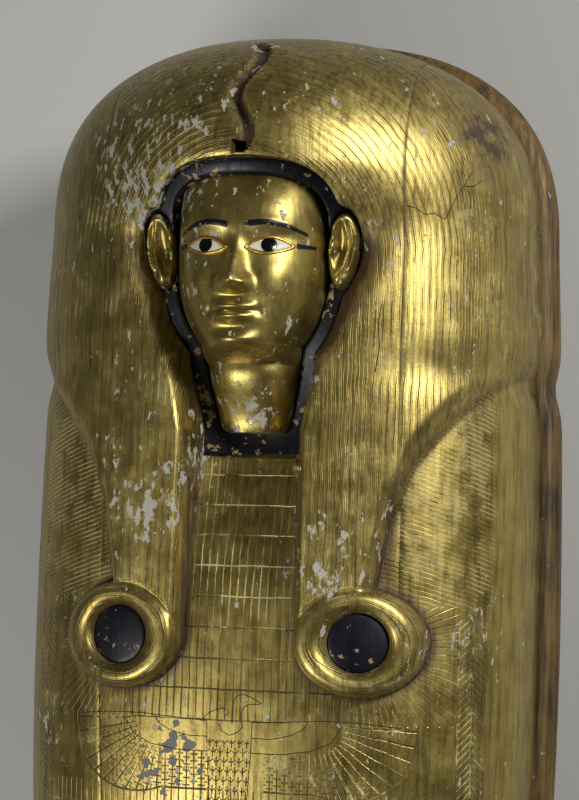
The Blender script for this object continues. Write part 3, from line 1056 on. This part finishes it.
# Face frame: a dark band over the forehead, and a dark border down both sides of the neck with a bar
# under it. Both are inlaid in the opening of the wig, round the face, and meet at the ears.
BAND_RISE, BORDER_RISE, FRAME_ROUND, FRAME_CELL, BORDER_THICK = 18, 4, 2, 2, 10
FRAME_HALF = 144
BAND_BOX = ((-FRAME_HALF, EAR_Y - 6), (FRAME_HALF, 864))
BORDER_BOX = ((-FRAME_HALF, BAR_END - 4), (FRAME_HALF, EAR_Y + 4))


def frame_part(low, high, rise):
    """Outline and top of the frame between two places along the case."""
    def off(x, y):
        ring = np.where(y > NECK_END, -off_polygon(x, y, FACE_OUTLINE), -FAR)
        return np.maximum.reduce([off_frame(x, y), ring, -off_ear(x, y), low - y, y - high])

    def top(x, y):
        return vault(x, y, WIG_SIDE, rise, 0, HOOD, DIP) - lip(np.clip(-off(x, y), 0, None), FRAME_ROUND)
    return off, top


off_band, band_top = frame_part(EAR_Y + SEAM, HALF_LENGTH, BAND_RISE)
band = plate("forehead_band", BAND_BOX, FRAME_CELL, off_band, band_top, lambda x, y: FACE_SEAT)
dress(band, "lid", "dark_inlay", ["brow_band"], INLAY)
off_border, border_top = frame_part(BAR_END, EAR_Y - SEAM, BORDER_RISE)
border = plate("neck_frame", BORDER_BOX, FRAME_CELL, off_border, border_top,
               lambda x, y: np.minimum(FACE_SEAT, border_top(x, y) - BORDER_THICK))
dress(border, "lid", "dark_inlay", ["neck_border"], INLAY)

# Face: a calm mask of plain proportions on a short neck, carved apart from the lid, gilded without cut
# lines and dowelled into the opening. Its relief is in face units: 0 at the brow, down to the neck.
FACE_RISE, NECK_RISE, NECK_LOW_RISE, NECK_TOP = 132, 72, 36, -170
FACE_POWER, NECK_POWER, FULLNESS, FOREHEAD_FALL = 2.5, 2.4, 2.2, 0.19
CHIN_FROM, CHIN_RUN, FACE_EDGE, FORMS_FADE = -138, 30, 4, 6
BROW_RIDGE, BROW_RIDGE_X, BROW_RIDGE_WIDE, BROW_RIDGE_Y, BROW_RIDGE_TALL = 4, 36, 34, 2, 9
BROW_ARCH, BROW_ARCH_X = 0.002, 38
NOSE_ROOT, NOSE_ROOT_Y, NOSE_ROOT_RUN, NOSE_WIDE = 3, 14, 26, (9, 13.5)
NOSE_RISE, NOSE_FROM, NOSE_RUN, NOSE_END, NOSE_UNDER = 22, -12, 60, -89, 17
MOUTH_BOW = 0.002
# the lips and the parting between them: height, half width, then place and reach along
LIPS = ((6.5, 30, -101, 4.8), (-5, 30, -107, 2.4), (8, 25, -113.5, 5.4))
# each swelling or hollow: height, then place and reach across and along
FACE_FORMS = {
    "eye socket": (-11, 40, 25, -25, 17),
    "eyeball": (8, 41, 19, -27, 12),
    "tip of the nose": (5, 0, 11, -70, 10),
    "nostril": (10, 16, 7.5, -73, 8.5),
    "mound of the mouth": (7, 0, 31, -105, 25),
    "corner of the mouth": (-2.5, 31, 5, -106, 6),
    "cheek": (6, 52, 27, -62, 32),
    "crease over the chin": (-4, 0, 25, -127, 7.5),
    "chin": (8, 0, 22, -146, 14),
}
FACE_COLUMNS, FACE_ROWS, TOP_ROWS, TOP_FROM, TOP_SHORT, FACE_CROWD = 140, 230, 40, 40, 0.02, 0.75
CARVED_SMOOTH = 60
GOLD_FACE = gild("gilded_face", None, flaking=0.88, wear=0.45, pale_from=FAR)


def face_z(s, y):
    """Height of the face over its seat, in face units; s runs from 0 at the middle to 1 at the edge."""
    x = s * face_edge(y)
    reach = np.where(y > 0, x * UNIT / FACE_HALF, s)
    slope = 1 - FOREHEAD_FALL * (np.clip(y, 0, None) / HAIRLINE) ** 2
    dome = FACE_RISE / UNIT * slope * np.clip(1 - reach ** FACE_POWER, 0, 1) ** (1 / FULLNESS)
    relief = sum(h * bell(x - px, rx) * bell(y - py, ry) for h, px, rx, py, ry in FACE_FORMS.values())
    arch = y - BROW_RIDGE_Y + BROW_ARCH * (x - BROW_ARCH_X) ** 2
    brow = BROW_RIDGE * bell(arch, BROW_RIDGE_TALL) * bell(x - BROW_RIDGE_X, BROW_RIDGE_WIDE)
    fall = ease((NOSE_FROM - y) / NOSE_RUN)
    ridge = NOSE_ROOT * ease((NOSE_ROOT_Y - y) / NOSE_ROOT_RUN) + NOSE_RISE * fall
    ridge = ridge * ease((y - NOSE_END) / NOSE_UNDER) * bell(x, mix(*NOSE_WIDE, fall))
    bow = y - MOUTH_BOW * x ** 2
    lips = sum(h * np.clip(1 - (x / half) ** 2, 0, 1) * bell(bow - py, ry) for h, half, py, ry in LIPS)
    under = np.sqrt(np.clip(1 - np.clip((CHIN_FROM - y) / CHIN_RUN, 0, 1) ** 2, 0, 1))
    head = (dome + (relief + brow + ridge + lips) * (1 - s ** FORMS_FADE)) * under
    neck = mix(NECK_RISE, NECK_LOW_RISE, ease((NECK_TOP - y) / (NECK_TOP - FACE_LOW))) / UNIT
    neck = neck * np.clip(1 - s ** NECK_POWER, 0, 1) ** (1 / FULLNESS)
    return np.maximum(np.maximum(head, neck), FACE_EDGE)


face_y = np.concatenate([
    np.linspace(FACE_LOW, TOP_FROM, FACE_ROWS - TOP_ROWS),
    TOP_FROM + (HAIRLINE - TOP_SHORT - TOP_FROM) * np.sin(np.linspace(0, math.pi / 2, TOP_ROWS + 2))[1:]])


def face_place(i, j):
    top = i <= FACE_COLUMNS
    t = np.where(top, 2 * i / FACE_COLUMNS - 1, 3 - 2 * i / FACE_COLUMNS)
    t = mix(t, np.sin(math.pi / 2 * t), FACE_CROWD)
    y = face_y[j]
    flat = ~top | (i == 0)
    z = np.where(flat, FACE_SEAT, FACE_SEAT + UNIT * face_z(np.abs(t), y))
    return t * face_edge(y) * UNIT, BROW_Y + y * UNIT, z


face = shaped_grid("face", 2 * FACE_COLUMNS, len(face_y) - 1, face_place)
close(face, CARVED_SMOOTH)
face_x, face_along, _ = places(face)
note(face, across=face_x, along=face_along)
dress(face, "lid", "gilded_wood", ["face_mask"], GOLD_FACE)

# Ears: carved apart, gilded, and set upright in the wig beside the band. Each has a rolled rim, a fold,
# a hollow and a lobe. Places on it run from -1 to 1, across and along.
EAR_RISE, EAR_BOX, EAR_CELL, EAR_LIFT = 24, ((84, 702), (136, 806)), 1.2, 5
EAR_LEVEL, EAR_EDGE_POWER = 0.62, 8
HELIX, HELIX_RADIUS, HELIX_WIDE, HELIX_END, HELIX_FADE = 0.34, 0.8, 0.15, -0.62, 0.3
FRONT, FRONT_RUN, FRONT_LOW, FRONT_HIGH, FRONT_FADE = -0.1, 0.7, -0.75, 0.55, 0.3
FOLD, FOLD_X, FOLD_Y, FOLD_RADIUS, FOLD_FLAT, FOLD_WIDE, FOLD_FADE = 0.255, -0.25, 0.02, 0.56, 0.9, 0.13, 0.4
# each swelling or hollow: height, then place and reach across and along
EAR_FORMS = {
    "cup": (-0.42, -0.2, 0.42, -0.02, 0.34),
    "tragus": (0.272, -0.72, 0.22, -0.08, 0.14),
    "lobe": (0.187, -0.05, 0.5, -0.78, 0.2),
}


def ear_top(x, y):
    p, q, outline = ear_spot(x, y)
    radius = np.hypot(outline, q)
    front = ease((q - FRONT_LOW) / FRONT_FADE) * ease((FRONT_HIGH - q) / FRONT_FADE)
    front = front * ease((FRONT - p) / FRONT_RUN)
    helix = HELIX * bell(radius - HELIX_RADIUS, HELIX_WIDE) * (1 - front) * ease((q - HELIX_END) / HELIX_FADE)
    fold = bell(np.hypot(p - FOLD_X, (q - FOLD_Y) * FOLD_FLAT) - FOLD_RADIUS, FOLD_WIDE)
    fold = FOLD * fold * ease((p - FOLD_X) / FOLD_FADE)
    forms = sum(h * bell(p - pp, rp) * bell(q - pq, rq) for h, pp, rp, pq, rq in EAR_FORMS.values())
    body = EAR_LEVEL + helix + fold + forms
    edge = np.sqrt(np.clip(1 - radius ** EAR_EDGE_POWER, 0, 1))
    return vault(x, y, WIG_SIDE, BORDER_RISE, 0, HOOD, DIP) + EAR_RISE * body * edge


for sign, side in SIDES:
    ear = plate(f"ear_{side}_carved", EAR_BOX, EAR_CELL, off_ear, ear_top,
                lambda x, y: FACE_SEAT + EAR_LIFT, sign, CARVED_SMOOTH)
    dress(ear, "lid", "gilded_wood", [f"ear_{side}"], GOLD_FACE)

# Inlays of the face: a gold rim round a white stone with a black pupil, a dark eyebrow and a dark line
# beside each eye. All are let into the mask and glued. Places are in face units.
EYE_X, EYE_Y, EYE_HALF, EYE_UP, EYE_DOWN, EYE_TILT = 40, -26, 25, 9, 7, math.radians(4)
RIM_WIDTH, RIM_RISE, RIM_ROUND = 3.4, 2.5, 1.6
STONE_RISE, STONE_DOME, STONE_EDGE = 0.6, 1.2, 8
PUPIL, PUPIL_UP, PUPIL_RISE, PUPIL_DOME = 8.5, 1.5, 2.1, 0.8
LINE_RISE, INLAY_DEEP, EYE_STEPS, STROKE_STEPS = 1.5, 6, 25, 17
# White stone: polished calcite, clouded, with a few tan specks.
WHITE = streaked("white_stone", ("#D2CBB8", "#B8AF98", "#A08F70"), rough=0.3, metal=0, chips=0.95,
                 chip_size=4, width=6, drawn_out=0.4, relief=0.06)
# Black stone: obsidian, glassy and almost even.
BLACK = streaked("black_stone", ("#050506", "#010102", "#1C1A18"), rough=0.06, metal=0, chips=0.99,
                 chip_size=4, width=4, drawn_out=1, relief=0.04)
# Gold rim: beaten strip, brighter than the leaf, with brown tarnish in small spots.
RIM_GOLD = streaked("gold_rim", ("#D6B764", "#AE8B3C", "#5A431C"), rough=0.26, metal=0.95, chips=0.97,
                    chip_size=5, width=4, drawn_out=1, relief=0.12)


def to_frame(points):
    return [(px * UNIT, BROW_Y + py * UNIT) for px, py in points]


def eye_points():
    run = np.linspace(-1, 1, EYE_STEPS)
    high = [(EYE_HALF * v, EYE_UP * (1 - v * v)) for v in run]
    low = [(EYE_HALF * v, -EYE_DOWN * (1 - v * v)) for v in run[-2:0:-1]]
    c, s = math.cos(EYE_TILT), math.sin(EYE_TILT)
    return to_frame([(EYE_X + c * px - s * py, EYE_Y + s * px + c * py) for px, py in high + low])


def stroke_points(start, end, y, rise, tilt, thick, taper):
    """Outline of a stroke from start to end that bows up by rise, climbs by tilt and tapers."""
    run = [(mix(start, end, t), y + rise * math.sin(math.pi * t) + tilt * t, thick * (1 - taper * t) / 2)
           for t in np.linspace(0, 1, STROKE_STEPS)]
    return to_frame([(x, y + h) for x, y, h in run] + [(x, y - h) for x, y, h in run[::-1]])


EYE = eye_points()
BROW = stroke_points(start=11, end=80, y=-1, rise=7, tilt=-7, thick=8, taper=0.5)
EYE_LINE = stroke_points(start=EYE_X + EYE_HALF + 5, end=87, y=EYE_Y + 2.5, rise=0, tilt=1, thick=6,
                         taper=0.3)
PUPIL_X, PUPIL_Y = to_frame([(EYE_X, EYE_Y + PUPIL_UP)])[0]


def on_face(x, y):
    """Height of the face's skin at a place of the frame."""
    fy = (y - BROW_Y) / UNIT
    s = np.clip(np.abs(x) / UNIT / np.maximum(face_edge(fy), 1e-3), 0, 1)
    return FACE_SEAT + UNIT * face_z(s, fy)


def off_eye(x, y):
    return off_polygon(x, y, EYE)


def off_rim(x, y):
    return np.maximum(off_eye(x, y) - RIM_WIDTH, -off_eye(x, y))


def off_pupil(x, y):
    return np.maximum(np.hypot(x - PUPIL_X, y - PUPIL_Y) - PUPIL, off_eye(x, y))


def stone_top(x, y):
    return on_face(x, y) + STONE_RISE + STONE_DOME * np.sqrt(np.clip(-off_eye(x, y) / STONE_EDGE, 0, 1))


def pupil_top(x, y):
    return on_face(x, y) + PUPIL_RISE + PUPIL_DOME * np.sqrt(np.clip(-off_pupil(x, y) / PUPIL, 0, 1))


def rim_top(x, y):
    return on_face(x, y) + RIM_RISE - lip(np.clip(-off_rim(x, y), 0, None), RIM_ROUND)


def line_top(x, y):
    return on_face(x, y) + LINE_RISE


def inlay_seat(x, y):
    return on_face(x, y) - INLAY_DEEP


# each inlay: piece, node, box and cell of its grid, outline, top, smoothing, slot and finish
FACE_INLAYS = (
    ("eye_stone", "eye_white", ((10, 730), (66, 766)), 0.8, off_eye, stone_top, SMOOTH, "white_stone", WHITE),
    ("eye_pupil", "pupil", ((24, 736), (52, 764)), 0.8, off_pupil, pupil_top, SMOOTH, "black_stone", BLACK),
    ("eye_ring", "eye_rim", ((4, 724), (72, 772)), 0.8, off_rim, rim_top, CARVED_SMOOTH, "gold_rim",
     RIM_GOLD),
    ("brow", "eyebrow", ((4, 760), (80, 786)), 1, partial(off_polygon, corners=BROW), line_top, SMOOTH,
     "dark_inlay", INLAY),
    ("cosmetic_line", "eye_line", ((62, 744), (86, 762)), 0.8, partial(off_polygon, corners=EYE_LINE),
     line_top, SMOOTH, "dark_inlay", INLAY),
)
for sign, side in SIDES:
    for name, node_name, box, cell, off, top, angle, slot, finish in FACE_INLAYS:
        inlay = plate(f"{name}_{side}", box, cell, off, top, inlay_seat, sign, angle)
        dress(inlay, "lid", slot, [f"{node_name}_{side}"], finish)

# Drawn lines: the outline of a bird with spread wings over the belly, and old cracks in the wig's side.
# They are cut or split in the leaf and filled with dirt, so they show as fine dark lines on the skin.
LINE_RADIUS, LINE_SINK, LINE_STEP = 0.6, 0.15, 3
HEAD = [(8, 199), (6, 208), (6, 217), (9, 224), (15, 227), (22, 227), (30, 228), (23, 232), (16, 235),
        (9, 238), (2, 237), (-3, 232), (-4, 225), (-4, 214), (-5, 204)]
SHOULDER = [(-14, 213), (-10, 214), (-9, 219), (-17, 221), (-28, 218), (-37, 212), (-41, 205)]
BREAST = [(-20, 203), (-17, 195), (-8, 190), (2, 194), (7, 200)]
WING = [[(27, 206), (60, 208), (110, 211), (150, 210), (196, 205)],
        [(26, 188), (50, 188), (72, 193), (86, 200), (92, 209)],
        [(26, 171), (60, 171), (96, 176), (118, 186), (130, 204)],
        [(27, 206), (26, 171), (24, 140), (22, 104)]]
BIRD_X = -8
WINGS = [[(BIRD_X + sign * px, py) for px, py in line] for sign in (1, -1) for line in WING]
BIRD = [HEAD, SHOULDER, BREAST] + WINGS
CRACKS = [[(183, 806), (193, 804), (201, 798), (212, 800), (223, 794), (228, 806), (233, 820), (241, 836),
           (249, 855)],
          [(241, 836), (252, 838), (258, 846)],
          [(158, 690), (155, 668), (157, 640), (153, 612)]]
# Packed dirt: old dust and wax, matt and almost black.
ENGRAVED = streaked("engraved_line", ("#28190B", "#0E0804", "#4A3718"), rough=0.7, metal=0, chips=0.95,
                    chip_size=5, width=6, drawn_out=0.4)


def drawn(name, lines):
    """Fine round lines laid along the lid's skin."""
    curve = bpy.data.curves.new(name, "CURVE")
    curve.dimensions = "3D"
    curve.bevel_depth = LINE_RADIUS * MM
    curve.bevel_resolution = 1
    curve.use_fill_caps = True
    for line in lines:
        spots = np.array(line, float)
        run = np.concatenate([[0], np.cumsum(np.hypot(*np.diff(spots, axis=0).T))])
        steps = np.linspace(0, run[-1], max(2, int(run[-1] / LINE_STEP)))
        x, y = (np.interp(steps, run, spots[:, axis]) for axis in (0, 1))
        spline = curve.splines.new("POLY")
        spline.points.add(len(x) - 1)
        spot_rows = np.stack([x * MM, y * MM, (skin(x, y) - LINE_SINK) * MM, np.ones(len(x))], 1)
        spline.points.foreach_set("co", spot_rows.ravel())
    piece = bpy.data.objects.new(name, curve)
    bpy.context.scene.collection.objects.link(piece)
    pick(piece)
    bpy.ops.object.convert(target="MESH")
    return bpy.context.object


for name, lines in (("bird_outline", BIRD), ("wig_cracks", CRACKS)):
    dress(drawn(name, lines), "lid", "gilded_wood", [], ENGRAVED)

# Floor and joinery: two painted floor boards, and tongues, dowels, tenons and pegs of bare wood, most of
# it hidden while the lid is on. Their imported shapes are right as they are, so they only get a finish.
for name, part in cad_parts.items():
    if not part.hide_render:
        part.data.materials.clear()
        part.data.materials.append(PAINTED if name.startswith("floor_board") else BARE)
